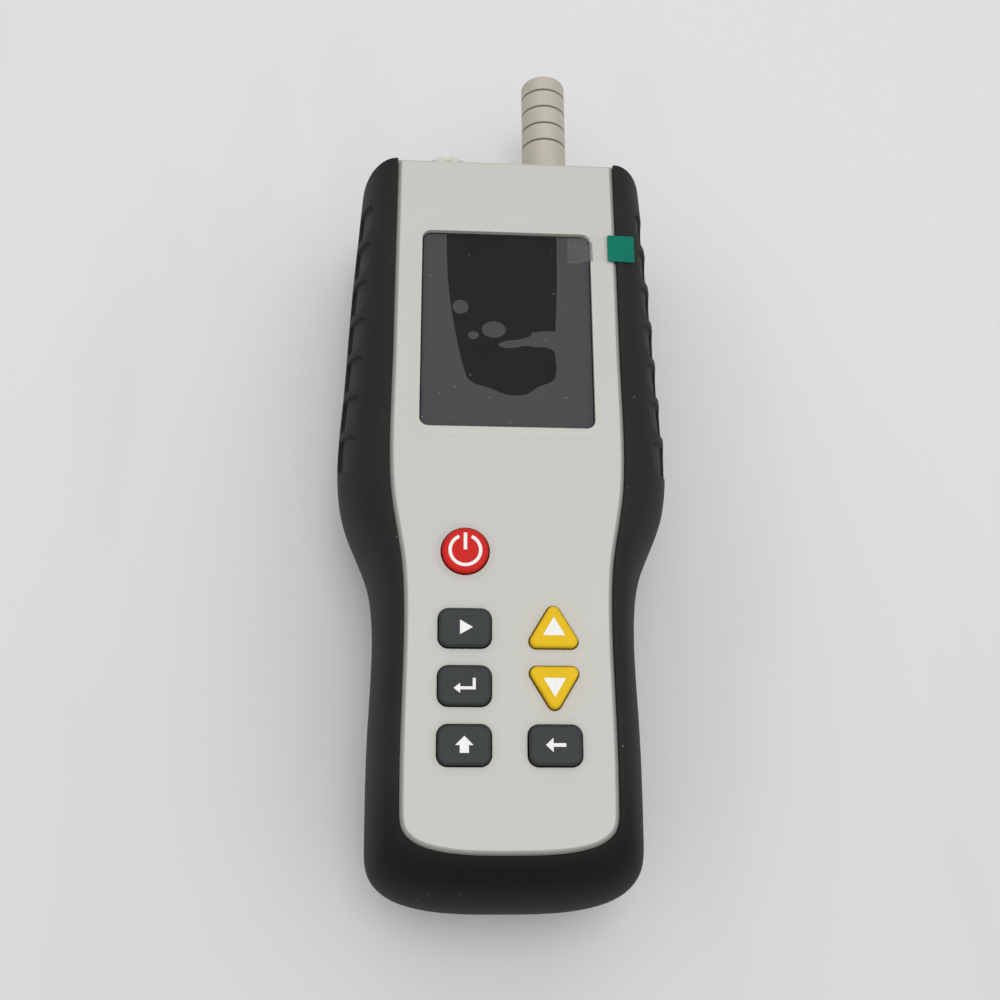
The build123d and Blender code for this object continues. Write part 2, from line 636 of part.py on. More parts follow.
def make_battery():
    """Two cells side by side in one shrink sleeve."""
    middle = BATTERY_FLOOR + CELL_RADIUS
    cells = [rod_y(side * CELL_RADIUS, middle, CELL_RADIUS, BATTERY_LOW, BATTERY_HIGH) for side in (-1, 1)]
    low, high = BATTERY_FLOOR, BATTERY_FLOOR + 2 * CELL_RADIUS
    web = block((-CELL_RADIUS, CELL_RADIUS), (BATTERY_LOW, BATTERY_HIGH), (low, high))
    return union(cells + [web])


def make_battery_foam():
    side = CELL_RADIUS
    y_range = (BATTERY_LOW + 8, BATTERY_HIGH - 8)
    return block((-side, side), y_range, (BATTERY_FLOOR + 2 * CELL_RADIUS, BOARD_BOTTOM - 3.0))


def make_battery_door():
    plate = RectangleRounded(DOOR_WIDTH, DOOR_LENGTH, DOOR_CORNER)
    door = Pos(0, BATTERY_Y, 0) * prism(plate, PAD_RECESS, DOOR_TOP)
    ribs = OPENING_WIDTH / 2 - 1.0
    for step in (-2, -1, 0, 1, 2):
        y = BATTERY_Y + step * 9
        door = door + block((-ribs, ribs), (y - 0.6, y + 0.6), (DOOR_TOP, BATTERY_FLOOR - 0.3))
    holes = []
    for at in door_screw_places():
        holes.append(post(at, SMALL_SCREW + SCREW_FIT, -1, DOOR_TOP + 1))
        holes.append(post(at, SMALL_HEAD + SCREW_FIT, -1, PAD_RECESS + SMALL_HEAD_THICKNESS - 0.3))
    return door - holes


# ---------------------------------------------------------------- tripod insert
def make_tripod_insert():
    top = PAD_RECESS + TRIPOD_LENGTH
    body = post((0, TRIPOD_Y), TRIPOD_RADIUS, PAD_RECESS, top)
    groove = post((0, TRIPOD_Y), TRIPOD_RADIUS + 1, top / 2 - 0.6, top / 2 + 0.6)
    groove = groove - post((0, TRIPOD_Y), TRIPOD_RADIUS - 0.6, 0, top)
    return body - groove - post((0, TRIPOD_Y), TRIPOD_BORE, 0, top - 1.2)


# ---------------------------------------------------------------- inlet
def make_nozzle():
    """Turned tube: grooved grip outside, threaded neck through the end wall, hose barb inside."""
    seat = BODY_LENGTH + SEAL_THICKNESS
    neck_end = END_WALL_INSIDE - NUT_THICKNESS - 0.5
    barb_end = neck_end - BARB_LENGTH
    half = GROOVE_WIDTH / 2
    profile = [(NOZZLE_BORE, barb_end), (BARB_RADIUS, barb_end), (BARB_RADIUS, neck_end)]
    profile += [(NECK_RADIUS, neck_end), (NECK_RADIUS, seat), (NOZZLE_RADIUS, seat)]
    for ring in reversed(range(GROOVE_COUNT)):
        y = INLET_TIP - GROOVE_FIRST - ring * GROOVE_PITCH
        profile += [(NOZZLE_RADIUS, y - half), (NOZZLE_RADIUS - GROOVE_DEPTH, y), (NOZZLE_RADIUS, y + half)]
    profile += [(NOZZLE_RADIUS, INLET_TIP), (NOZZLE_BORE, INLET_TIP)]
    tube = revolve(make_face(Polyline(*profile, close=True)), Axis.Y)
    tip = tube.edges().group_by(Axis.Y)[-1].sort_by(SortBy.LENGTH)[-1]
    tube = fillet(tip, NOZZLE_EDGE)
    return Pos(INLET_X, 0, INLET_Z) * tube


def ring_y(x, z, inner, outer, low, high):
    return rod_y(x, z, outer, low, high) - rod_y(x, z, inner, low - 1, high + 1)


def make_inlet_nut():
    hexagon = RegularPolygon(NUT_ACROSS / 2, 6, major_radius=False)
    nut = extrude(Plane.XZ * hexagon, NUT_THICKNESS)
    nut = Pos(INLET_X, END_WALL_INSIDE, INLET_Z) * nut
    return nut - rod_y(INLET_X, INLET_Z, NECK_RADIUS, END_WALL_INSIDE - 9, END_WALL_INSIDE + 1)


def make_hose():
    inner = BARB_RADIUS + HOSE_FIT
    high = END_WALL_INSIDE - NUT_THICKNESS - 0.8
    return ring_y(INLET_X, INLET_Z, inner, inner + HOSE_WALL, SENSOR_HIGH + 0.3, high)


# ---------------------------------------------------------------- optical sensor
def sensor_screw_places():
    inset = SENSOR_SCREW_INSET
    xs = (SENSOR_LEFT + inset, SENSOR_RIGHT - inset)
    return [(x, y) for x in xs for y in (SENSOR_LOW + inset, SENSOR_HIGH - inset)]


def make_sensor_block():
    body = block((SENSOR_LEFT, SENSOR_RIGHT), (SENSOR_LOW, SENSOR_HIGH), (SENSOR_BOTTOM, SENSOR_TOP))
    body = fillet(body.edges().filter_by(Axis.Z), 1.5)
    body = body + rod_y(INLET_X, INLET_Z, BARB_RADIUS, SENSOR_HIGH - 1, SENSOR_HIGH + SPIGOT_LENGTH)
    flow = rod_y(INLET_X, INLET_Z, NOZZLE_BORE, SENSOR_LOW - 1, SENSOR_HIGH + SPIGOT_LENGTH + 1)
    length = SENSOR_RIGHT - SENSOR_LEFT
    laser = Pos(SENSOR_LEFT + length / 2, SENSOR_Y, INLET_Z) * Rot(0, 90, 0) * Cylinder(2.0, length + 2)
    seat_length = LASER_LENGTH - LASER_REACH
    seat = Pos(SENSOR_LEFT + seat_length / 2 - 1, SENSOR_Y, INLET_Z)
    seat = seat * Rot(0, 90, 0) * Cylinder(LASER_RADIUS + HOSE_FIT, seat_length + 2)
    lid_threads = [post(at, SMALL_SCREW, SENSOR_BOTTOM - 1, SENSOR_BOTTOM + 5) for at in sensor_screw_places()]
    return body - ([flow, laser, seat] + lid_threads)


def make_sensor_lid():
    x_range, y_range = (SENSOR_LEFT, SENSOR_RIGHT), (SENSOR_LOW, SENSOR_HIGH)
    lid = block(x_range, y_range, (SENSOR_BOTTOM - SENSOR_LID, SENSOR_BOTTOM))
    lid = fillet(lid.edges().filter_by(Axis.Z), 1.5)
    through = (SENSOR_BOTTOM - SENSOR_LID - 1, SENSOR_BOTTOM + 1)
    head_room = (SENSOR_BOTTOM - SENSOR_LID - 1, SENSOR_BOTTOM - SENSOR_LID + SMALL_HEAD_THICKNESS)
    holes = [post(at, SMALL_SCREW + SCREW_FIT, *through) for at in sensor_screw_places()]
    holes += [post(at, SMALL_HEAD + SCREW_FIT, *head_room) for at in sensor_screw_places()]
    return lid - holes


def make_laser():
    start = SENSOR_LEFT - LASER_REACH
    tube = Pos(start + LASER_LENGTH / 2, SENSOR_Y, INLET_Z) * Rot(0, 90, 0) * Cylinder(LASER_RADIUS, LASER_LENGTH)
    bore = Pos(start + LASER_LENGTH - 1, SENSOR_Y, INLET_Z) * Rot(0, 90, 0) * Cylinder(1.2, 6)
    return tube - bore


def make_detector_board():
    half = DETECTOR_SIZE / 2
    x_range = (SENSOR_RIGHT, SENSOR_RIGHT + DETECTOR_THICKNESS)
    return block(x_range, (SENSOR_Y - half, SENSOR_Y + half), (INLET_Z - half, INLET_Z + half))


# ---------------------------------------------------------------- fan and duct
def fan_corners():
    away = FAN_SIZE / 2 - FAN_POST_INSET
    return [(FAN_X + i * away, FAN_Y + j * away) for i in (-1, 1) for j in (-1, 1)]


def make_duct():
    half = FAN_SIZE / 2
    x_range = (FAN_X - half, FAN_X + half)
    hood = block(x_range, (FAN_Y - half, SENSOR_LOW), (FAN_TOP, DUCT_TOP))
    inner = half - DUCT_WALL
    room = block((FAN_X - inner, FAN_X + inner), (FAN_Y - inner, FAN_Y + inner), (FAN_TOP - 1, DUCT_TOP - DUCT_WALL))
    port = rod_y(INLET_X, INLET_Z, NOZZLE_BORE, FAN_Y, SENSOR_LOW + 1)
    return hood - room - port


def make_fan_housing():
    half = FAN_SIZE / 2
    x_range, y_range = (FAN_X - half, FAN_X + half), (FAN_Y - half, FAN_Y + half)
    frame = block(x_range, y_range, (FAN_FLOOR, FAN_TOP))
    frame = fillet(frame.edges().filter_by(Axis.Z), 1.5)
    frame = frame - post((FAN_X, FAN_Y), FAN_BORE, FAN_FLOOR - 1, FAN_TOP + 1)
    hub = post((FAN_X, FAN_Y), FAN_HUB, FAN_FLOOR, FAN_FLOOR + FAN_BASE)
    arm = block((0, FAN_BORE + 0.5), (-FAN_SPOKE / 2, FAN_SPOKE / 2), (FAN_FLOOR, FAN_FLOOR + FAN_BASE))
    arms = [Pos(FAN_X, FAN_Y, 0) * Rot(0, 0, 45 + 90 * k) * arm for k in range(4)]
    holes = [post((FAN_X, FAN_Y), FAN_PIN + FAN_PIN_FIT, FAN_FLOOR - 1, FAN_TOP)]
    holes += [post(at, SMALL_SCREW, FAN_FLOOR - 1, FAN_FLOOR + 4) for at in fan_corners()]
    return union([frame, hub] + arms) - holes


def make_fan_rotor():
    """Hub cup with twisted blades, all one moulding."""
    low = FAN_FLOOR + FAN_BASE + FAN_LIFT
    hub = post((0, 0), FAN_HUB, low, low + FAN_HUB_HEIGHT)
    hub = fillet(hub.edges().group_by(Axis.Z)[-1], 0.6)
    reach = FAN_BORE - FAN_BLADE_GAP
    blade = Pos((FAN_HUB + reach) / 2 - 0.3, 0, low + FAN_HUB_HEIGHT / 2)
    blade = blade * Rot(FAN_BLADE_TWIST, 0, 0) * Box(reach - FAN_HUB + 0.6, FAN_BLADE_THICKNESS, 5.2)
    blades = [Rot(0, 0, 360 * k / FAN_BLADES) * blade for k in range(FAN_BLADES)]
    rim_limit = post((0, 0), reach, low, low + FAN_HUB_HEIGHT)
    rotor = union([hub] + blades) & rim_limit
    return Pos(FAN_X, FAN_Y, 0) * (rotor - post((0, 0), FAN_PIN, low - 1, low + FAN_HUB_HEIGHT - 1.2))


def make_fan_shaft():
    low = FAN_FLOOR + FAN_BASE + FAN_LIFT
    return post((FAN_X, FAN_Y), FAN_PIN, FAN_FLOOR + 0.2, low + FAN_HUB_HEIGHT - 1.2)


# ---------------------------------------------------------------- climate sensor
def make_climate_cap():
    """Round cage with slots along it and one across its end."""
    tip = BODY_LENGTH + CLIMATE_REACH
    cap = rod_y(CLIMATE_X, CLIMATE_Z, CLIMATE_RADIUS, BODY_LENGTH, tip)
    cap = fillet(cap.edges().group_by(Axis.Y)[-1], 1.2)
    cap = cap + rod_y(CLIMATE_X, CLIMATE_Z, CLIMATE_NECK, END_WALL_INSIDE, BODY_LENGTH)
    inner = CLIMATE_RADIUS - CLIMATE_WALL
    room = rod_y(CLIMATE_X, CLIMATE_Z, inner, BODY_LENGTH + CLIMATE_WALL, tip - CLIMATE_WALL)
    passage = rod_y(CLIMATE_X, CLIMATE_Z, CLIMATE_NECK - CLIMATE_WALL, END_WALL_INSIDE - 1, tip - 2)
    cap = cap - room - passage
    half = CLIMATE_SLOT_WIDTH / 2
    slots = []
    for step in range(CLIMATE_SLOTS):
        turn = 90 + 360 * step / CLIMATE_SLOTS
        slot = block((inner - 1, CLIMATE_RADIUS + 1), (BODY_LENGTH + 2, tip + 1), (-half, half))
        slots.append(Pos(CLIMATE_X, 0, CLIMATE_Z) * Rot(0, turn, 0) * slot)
    return cap - slots


def make_climate_board():
    thick = CLIMATE_BOARD_THICKNESS / 2
    reach = CLIMATE_NECK - CLIMATE_WALL - CLIMATE_BOARD_FIT
    half = math.sqrt(reach ** 2 - thick ** 2)
    y_range = (END_WALL_INSIDE - 8, BODY_LENGTH + CLIMATE_REACH - 3)
    return block((CLIMATE_X - half, CLIMATE_X + half), y_range, (CLIMATE_Z - thick, CLIMATE_Z + thick))


# ---------------------------------------------------------------- write every piece
os.makedirs("parts", exist_ok=True)

whole = (shell_form() & below_y(BODY_LENGTH)) + face_plate() + rear_pad()
hollow = whole - shell_cavity()
write("front_shell", make_front_shell(hollow, whole))
write("rear_shell", make_rear_shell(hollow, whole))
write("rubber_boot", make_boot())

write("display_window", make_lens())
write("protective_film", make_film())
write("film_tape", make_tape())
write("film_pull_tab", make_tab())
write("lcd_gasket", make_gasket())
write("lcd_glass", window_prism(LCD_MARGIN, LCD_BOTTOM, LCD_TOP))
write("lcd_backlight", window_prism(HOLDER_WALL, BACKLIGHT_BOTTOM, LCD_BOTTOM))
write("lcd_holder", make_lcd_holder())

for key_name, (key_kind, key_x, key_y) in KEYS.items():
    write(key_name, make_key(key_kind, key_x, key_y))
    write(key_name.replace("_key", "_contact"), make_pill(key_x, key_y))
write("key_mat", make_key_mat())

write("main_board", make_board())
write("board_chips", make_chips())
write("board_screws", small_screws(mirrored(BOARD_POSTS), BOARD_BOTTOM, True))
write("buzzer", post(BUZZER_AT, BUZZER_RADIUS, BOARD_TOP, BOARD_TOP + BUZZER_HEIGHT))
write("shell_screws", make_shell_screws())

write("battery_pack", make_battery())
write("battery_foam", make_battery_foam())
write("battery_door", make_battery_door())
write("door_screws", small_screws(door_screw_places(), PAD_RECESS + SMALL_HEAD_THICKNESS - 0.3, True, 2.6))
write("tripod_insert", make_tripod_insert())

write("inlet_nozzle", make_nozzle())
write("inlet_seal", ring_y(INLET_X, INLET_Z, NECK_RADIUS, SEAL_RADIUS, BODY_LENGTH, BODY_LENGTH + SEAL_THICKNESS))
write("inlet_nut", make_inlet_nut())
write("inlet_hose", make_hose())
write("sensor_block", make_sensor_block())
write("sensor_lid", make_sensor_lid())
write("sensor_screws", small_screws(sensor_screw_places(), SENSOR_BOTTOM - SENSOR_LID + SMALL_HEAD_THICKNESS, True))
write("laser_module", make_laser())
write("detector_board", make_detector_board())
write("air_duct", make_duct())
write("fan_housing", make_fan_housing())
write("fan_rotor", make_fan_rotor())
write("fan_shaft", make_fan_shaft())
write("climate_sensor_cap", make_climate_cap())
write("climate_sensor_board", make_climate_board())
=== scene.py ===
# %% [markdown]
# # A handheld air particle counter
# The instrument lies on its back: a pale two-part housing in a dark rubber boot, with a display under
# a peel-off film, seven rubber keys and a grooved metal air inlet. The construction comes from the CAD
# frame, which already has every rigid piece at its real size. This file gives those pieces their
# finishes, and models what is soft, thin or printed. Everything is in metres, so sizes are written in
# millimetres times `MM`.

# %% Load the frame
import math

import bmesh
import bpy
from mathutils import Matrix, Vector


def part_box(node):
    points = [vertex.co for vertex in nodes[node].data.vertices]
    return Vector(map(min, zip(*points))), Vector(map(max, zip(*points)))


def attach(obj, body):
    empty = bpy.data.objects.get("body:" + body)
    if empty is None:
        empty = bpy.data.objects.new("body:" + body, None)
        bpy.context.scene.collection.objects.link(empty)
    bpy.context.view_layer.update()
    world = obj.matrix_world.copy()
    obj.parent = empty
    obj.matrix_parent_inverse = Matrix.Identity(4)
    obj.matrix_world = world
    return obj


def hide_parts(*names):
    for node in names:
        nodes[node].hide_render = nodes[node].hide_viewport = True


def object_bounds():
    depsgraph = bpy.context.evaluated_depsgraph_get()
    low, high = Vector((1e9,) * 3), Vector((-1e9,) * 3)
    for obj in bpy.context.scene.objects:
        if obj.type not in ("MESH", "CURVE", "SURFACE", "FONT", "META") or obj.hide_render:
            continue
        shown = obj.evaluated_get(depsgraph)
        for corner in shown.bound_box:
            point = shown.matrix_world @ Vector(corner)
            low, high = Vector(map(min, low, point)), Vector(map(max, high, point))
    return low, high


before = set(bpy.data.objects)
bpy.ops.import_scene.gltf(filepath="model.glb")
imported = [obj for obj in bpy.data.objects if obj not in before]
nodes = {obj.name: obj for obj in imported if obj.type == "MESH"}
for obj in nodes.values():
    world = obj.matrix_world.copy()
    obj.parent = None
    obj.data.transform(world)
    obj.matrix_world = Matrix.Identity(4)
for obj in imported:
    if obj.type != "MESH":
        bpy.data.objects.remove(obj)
cad_low, cad_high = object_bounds()
MM = 0.001
print("frame size in mm:", [round(side / MM, 1) for side in cad_high - cad_low])

# %% [markdown]
# ## Colours
# Shaders work in linear light, while a colour picker gives display values. One small function turns
# the second into the first, so that each colour below can be written as it looks.


# %% Display colours to linear ones
def paint(red, green, blue):
    """Linear colour of a display colour given from 0 to 255."""
    channels = []
    for value in (red, green, blue):
        share = value / 255
        if share <= 0.04045:
            channels.append(share / 12.92)
        else:
            channels.append(((share + 0.055) / 1.055) ** 2.4)
    return (*channels, 1.0)


# %% [markdown]
# ## Shader maths as plain expressions
# A pattern is easier to read as `1 - mask * 0.3` than as a chain of nodes. `Wire` stands for one
# output of a node, and its operators add the Math node that does the sum. `Finish` is a material in
# the making: its `node` method adds any other node, and its few helpers are the patterns that most
# finishes share. Patterns read Object coordinates, so they are fixed to the piece from every side.


# %% One output of a node
class Wire:
    def __init__(self, finish, socket):
        self.finish = finish
        self.socket = socket

    def maths(self, operation, *values, clamp=False):
        settings = {"operation": operation, "use_clamp": clamp}
        return self.finish.node("ShaderNodeMath", settings, dict(enumerate(values)))

    def __add__(self, other):
        return self.maths("ADD", self, other)

    def __radd__(self, other):
        return self.maths("ADD", other, self)

    def __sub__(self, other):
        return self.maths("SUBTRACT", self, other)

    def __rsub__(self, other):
        return self.maths("SUBTRACT", other, self)

    def __mul__(self, other):
        return self.maths("MULTIPLY", self, other)

    def __rmul__(self, other):
        return self.maths("MULTIPLY", other, self)

    def above(self, level, softness):
        """0 below a level and 1 above it, with a soft step between."""
        return self.maths("MULTIPLY", self - (level - softness / 2), 1 / softness, clamp=True)


# %% A material in the making
class Finish:
    def __init__(self, name):
        self.material = bpy.data.materials.new(name)
        self.material.use_nodes = True
        self.tree = self.material.node_tree
        self.shader = self.tree.nodes["Principled BSDF"]
        self.place = self.node("ShaderNodeTexCoord", output="Object")

    def node(self, kind, settings=None, values=None, output=0):
        """A node of that kind: its settings are set first, then the values or links of its sockets."""
        made = self.tree.nodes.new(kind)
        for name, value in (settings or {}).items():
            setattr(made, name, value)
        for name, value in (values or {}).items():
            self.feed(made.inputs[name], value)
        return Wire(self, made.outputs[output])

    def feed(self, socket, value):
        if isinstance(value, Wire):
            self.tree.links.new(value.socket, socket)
        else:
            socket.default_value = value

    def set(self, **values):
        """Values or links of the shader, with underscores for the spaces in a socket's name."""
        for name, value in values.items():
            self.feed(self.shader.inputs[name.replace("_", " ")], value)
        return self

    def noise(self, size, detail=2.0, stretch=None):
        """Cloudy pattern whose lumps are about that large, in metres."""
        where = self.place
        if stretch:
            where = self.node("ShaderNodeMapping", values={"Vector": where, "Scale": stretch})
        values = {"Vector": where, "Scale": 1 / size, "Detail": detail}
        return self.node("ShaderNodeTexNoise", values=values)

    def mix(self, share, first, second):
        """Colour that goes from the first to the second as share goes from 0 to 1."""
        values = {"Factor": share, 6: first, 7: second}
        return self.node("ShaderNodeMix", {"data_type": "RGBA"}, values, output=2)

    def specks(self, spacing, size):
        """Mask of small round specks of dust, about one in a cell of that spacing."""
        values = {"Vector": self.place, "Scale": 1 / spacing, "Randomness": 1.0}
        distance = self.node("ShaderNodeTexVoronoi", values=values, output="Distance")
        return 1 - distance.above(size / spacing, 0.3 * size / spacing)

    def bump(self, height, depth, base=None):
        """Normal of a surface that rises by depth metres where height goes from 0 to 1."""
        values = {"Height": height, "Distance": depth}
        if base:
            values["Normal"] = base
        return self.node("ShaderNodeBump", values=values)

    def rounded(self, radius):
        """Normal that rounds every sharp edge by a small radius."""
        return self.node("ShaderNodeBevel", {"samples": 6}, {"Radius": radius})


def dress(piece, finish):
    """Gives a piece one finish."""
    piece.data.materials.clear()
    piece.data.materials.append(finish.material)

# %% [markdown]
# ## The camera
# The instrument is seen from above its lower end with a normal lens. The camera's place and its three
# turns are all it needs: a yaw about the upright, a tilt away from straight down, and a roll about
# its own line of sight. No shift and no depth of field, so other views can use the same camera.

# %% Camera
LENS = 43.49
SENSOR_WIDTH = 36.0
NEAREST = 10 * MM          # nothing nearer to the camera is drawn
CAMERA_PLACE = Vector((-17.83 * MM, cad_low.y + 1.34 * MM, 285.83 * MM))
CAMERA_YAW = math.radians(-11.214)
CAMERA_TILT = math.radians(19.035)
CAMERA_ROLL = math.radians(11.605)

camera_data = bpy.data.cameras.new("camera")
camera_data.lens = LENS
camera_data.sensor_width = SENSOR_WIDTH
camera_data.clip_start = NEAREST
camera = bpy.data.objects.new("camera", camera_data)
turns = [
    Matrix.Rotation(CAMERA_YAW, 4, "Z"),
    Matrix.Rotation(CAMERA_TILT, 4, "X"),
    Matrix.Rotation(CAMERA_ROLL, 4, "Z"),
]
camera.matrix_world = Matrix.Translation(CAMERA_PLACE) @ turns[0] @ turns[1] @ turns[2]
bpy.context.scene.collection.objects.link(camera)
bpy.context.scene.camera = camera
bpy.context.scene.view_settings.view_transform = "Standard"
print("camera height in mm:", round(CAMERA_PLACE.z / MM, 1))

# %% [markdown]
# ## The floor
# The instrument lies on a table that is covered with a smooth pale sheet. It is one large plane with a
# faint weave and a few soft scuffs, so that the shadow has something to lie on, and painted shade makes
# it a little darker at the instrument's foot, where the light falls off. It is stage, not part of the
# object.

# %% Floor
FLOOR_SIZE = 3.0
DARKER_END, DARKER_FADE = -60 * MM, 200 * MM   # where the painted shade of the light's fall-off is half done, and how softly

floor_finish = Finish("pale table sheet")
weave = floor_finish.noise(0.5 * MM, 3.0)
scuffs = floor_finish.noise(40 * MM, 4.0, stretch=(1.0, 0.25, 1.0)).above(0.62, 0.2)
along = floor_finish.node("ShaderNodeSeparateXYZ", values={"Vector": floor_finish.place}, output="Y")
# painted shade: the sheet is darker towards the instrument's foot, where the light falls off
lighter = along.above(DARKER_END, DARKER_FADE)
painted_falloff_tint = floor_finish.mix(lighter, paint(216, 215, 217), paint(223, 222, 223))
floor_tint = floor_finish.mix(scuffs * 0.4, painted_falloff_tint, paint(212, 211, 213))
floor_finish.set(Base_Color=floor_tint, Roughness=0.85, Normal=floor_finish.bump(weave, 0.03 * MM))
floor_finish.set(Specular_IOR_Level=0.2)

sheet = bmesh.new()
bmesh.ops.create_grid(sheet, x_segments=1, y_segments=1, size=FLOOR_SIZE / 2)
floor_mesh = bpy.data.meshes.new("table_sheet")
sheet.to_mesh(floor_mesh)
sheet.free()
floor = bpy.data.objects.new("table_sheet", floor_mesh)
bpy.context.scene.collection.objects.link(floor)
floor_mesh.transform(Matrix.Translation((0, 0, cad_low.z)))
dress(floor, floor_finish)
print("floor side in m:", FLOOR_SIZE)

# %% [markdown]
# ## The light
# The light is that of a wide soft box overhead. One area lamp nearly above the instrument gives the
# shadows their direction, and a pale world gives the rest: it is bright at the top and falls off to
# about a quarter at the horizon. That makes short, even, soft shadows all round, and it leaves the
# steep flanks of the rubber dark, as a soft box does.

# %% Lamps and world
LAMP_PLACE = Vector((0.05, 0.03, 0.9))
LAMP_SIDE = 0.3            # metres
LAMP_POWER = 1.5           # watts
BRIGHTEST_WAY = Vector((0.05, 0.05, 1.0))
HORIZON_LIGHT, TOP_LIGHT = 0.28, 1.05

lamp_data = bpy.data.lights.new("overhead_light", "AREA")
lamp_data.shape = "SQUARE"
lamp_data.size = LAMP_SIDE
lamp_data.energy = LAMP_POWER
lamp = bpy.data.objects.new("overhead_light", lamp_data)
lamp.location = LAMP_PLACE
lamp.rotation_euler = (-LAMP_PLACE).to_track_quat("-Z", "Y").to_euler()
bpy.context.scene.collection.objects.link(lamp)

world = bpy.data.worlds.new("soft room")
world.use_nodes = True
bpy.context.scene.world = world
sky = world.node_tree.nodes
way = sky.new("ShaderNodeTexCoord")
overhead = sky.new("ShaderNodeVectorMath")
overhead.operation = "DOT_PRODUCT"
overhead.inputs[1].default_value = BRIGHTEST_WAY.normalized()
strength = sky.new("ShaderNodeMapRange")
strength.interpolation_type = "SMOOTHSTEP"
fall_off = {"From Min": -0.1, "From Max": 1.0, "To Min": HORIZON_LIGHT, "To Max": TOP_LIGHT}
for name, value in fall_off.items():
    strength.inputs[name].default_value = value
world.node_tree.links.new(way.outputs["Generated"], overhead.inputs[0])
world.node_tree.links.new(overhead.outputs["Value"], strength.inputs["Value"])
world.node_tree.links.new(strength.outputs["Result"], sky["Background"].inputs["Strength"])
sky["Background"].inputs["Color"].default_value = (1.0, 1.0, 1.0, 1.0)
print("light from above and from the side:", TOP_LIGHT, HORIZON_LIGHT)

# %% [markdown]
# ## Moulded plastic
# The housing is a pale warm grey with the fine spark-eroded grain of a mould. At this distance the
# grain shows only as a soft sheen, so it is a shallow bump, with a faint cloud in the colour. Its edges
# are sharp in the CAD frame; a Bevel node rounds them in the light, as a real moulding rounds them.

# %% Housing finish
shell_finish = Finish("pale moulded plastic")
grain = shell_finish.noise(0.22 * MM, 2.0)
cloud = shell_finish.noise(25 * MM, 3.0)
shell_tint = shell_finish.mix(cloud, paint(197, 196, 190), paint(191, 190, 183))
shell_edges = shell_finish.rounded(0.2 * MM)
shell_finish.set(Base_Color=shell_tint, Roughness=0.46 + grain * 0.12)
shell_finish.set(Normal=shell_finish.bump(grain, 0.006 * MM, shell_edges))
housing = ("front_shell", "rear_shell", "battery_door")
for node in housing:
    dress(nodes[node], shell_finish)

cap_finish = Finish("pale sensor cap plastic")
cap_grain = cap_finish.noise(0.3 * MM, 2.0)
cap_tint = cap_finish.mix(cap_grain, paint(214, 212, 200), paint(206, 203, 190))
cap_finish.set(Base_Color=cap_tint, Roughness=0.5, Normal=cap_finish.rounded(0.25 * MM))
dress(nodes["climate_sensor_cap"], cap_finish)
print("plastic pieces outside:", *housing, "climate_sensor_cap")

# %% [markdown]
# ## The rubber boot
# The boot is one soft moulding with seven finger pockets a side. The CAD frame gives the pockets their
# soft rims, and the thin lip round the face is rounded in the light by a Bevel node, as the housing's
# edges are. Rubber that has been handled is never one colour: a slow cloud changes its tint a little and
# dust sits on it in specks. The foot end faces away from the light, so painted shade makes it nearly
# black.

# %% Boot finish
# Painted shade: below this height the boot's colour fades to near black towards the foot end.
FOOT_SHADE_END = cad_low.y + 17 * MM
FOOT_SHADE_FADE = 20 * MM

boot_finish = Finish("dusty charcoal rubber")
boot_grain = boot_finish.noise(0.18 * MM, 3.0)
boot_cloud = boot_finish.noise(12 * MM, 3.0)
boot_length = boot_finish.node("ShaderNodeSeparateXYZ", values={"Vector": boot_finish.place}, output="Y")
unshaded_rubber = boot_length.above(FOOT_SHADE_END, FOOT_SHADE_FADE)
clouded_rubber = boot_finish.mix(boot_cloud, paint(41, 44, 41), paint(35, 38, 35))
# painted shade: near black at the foot end, the clouded rubber colour elsewhere
boot_tint = boot_finish.mix(unshaded_rubber, paint(20, 22, 20), clouded_rubber)
dust = boot_finish.specks(3.2 * MM, 0.15 * MM) * boot_finish.noise(9 * MM).above(0.46, 0.1)
boot_tint = boot_finish.mix(dust * 0.6, boot_tint, paint(150, 150, 145))
boot_finish.set(Base_Color=boot_tint, Roughness=0.55 + boot_grain * 0.12)
boot_finish.set(Specular_IOR_Level=0.1)
boot_finish.set(Normal=boot_finish.bump(boot_grain, 0.006 * MM, boot_finish.rounded(0.3 * MM)))
dress(nodes["rubber_boot"], boot_finish)
print("the boot's bloom begins at y in mm:", round(FOOT_SHADE_END / MM, 1))

# %% [markdown]
# ## Keys
# The keys are satin silicone in three colours. Silicone is slightly cloudy and picks up fine lint, so
# each colour gets a faint cloud, specks, a fine bump and a soft edge. One function makes all of them.


# %% Key finishes
def silicone(name, light, dark):
    """Satin rubber between two near tints."""
    finish = Finish(name)
    cloud = finish.noise(3 * MM, 3.0)
    fine = finish.noise(0.12 * MM, 2.0)
    lint = finish.specks(3.0 * MM, 0.07 * MM)
    tint = finish.mix(lint * 0.5, finish.mix(cloud, light, dark), paint(190, 190, 185))
    finish.set(Base_Color=tint, Roughness=0.42 + fine * 0.12, Specular_IOR_Level=0.15)
    finish.set(Normal=finish.bump(fine, 0.004 * MM, finish.rounded(0.25 * MM)))
    return finish


red_silicone = silicone("red key silicone", paint(206, 34, 26), paint(196, 26, 20))
grey_silicone = silicone("grey key silicone", paint(57, 60, 61), paint(51, 54, 55))
yellow_silicone = silicone("yellow key silicone", paint(230, 190, 20), paint(222, 180, 14))
key_colours = {
    "power": red_silicone,
    "run": grey_silicone,
    "enter": grey_silicone,
    "shift": grey_silicone,
    "back": grey_silicone,
    "up": yellow_silicone,
    "down": yellow_silicone,
}
for key, finish in key_colours.items():
    dress(nodes[f"{key}_key"], finish)
print("keys:", *key_colours)

# %% [markdown]
# ## Signs on the keys
# Each key has a white sign moulded into it: a power sign, a play triangle, a return arrow, a shift
# arrow, a back arrow, and two filled triangles. A sign is a thin flat mesh that stands a few hundredths
# of a millimetre out of the key, and it rides on the key's own body, so that it goes down with it.

# %% White inlay finish and the sign maker
SIGN_RISE = 0.02 * MM
SIGN_DEPTH = 0.1 * MM

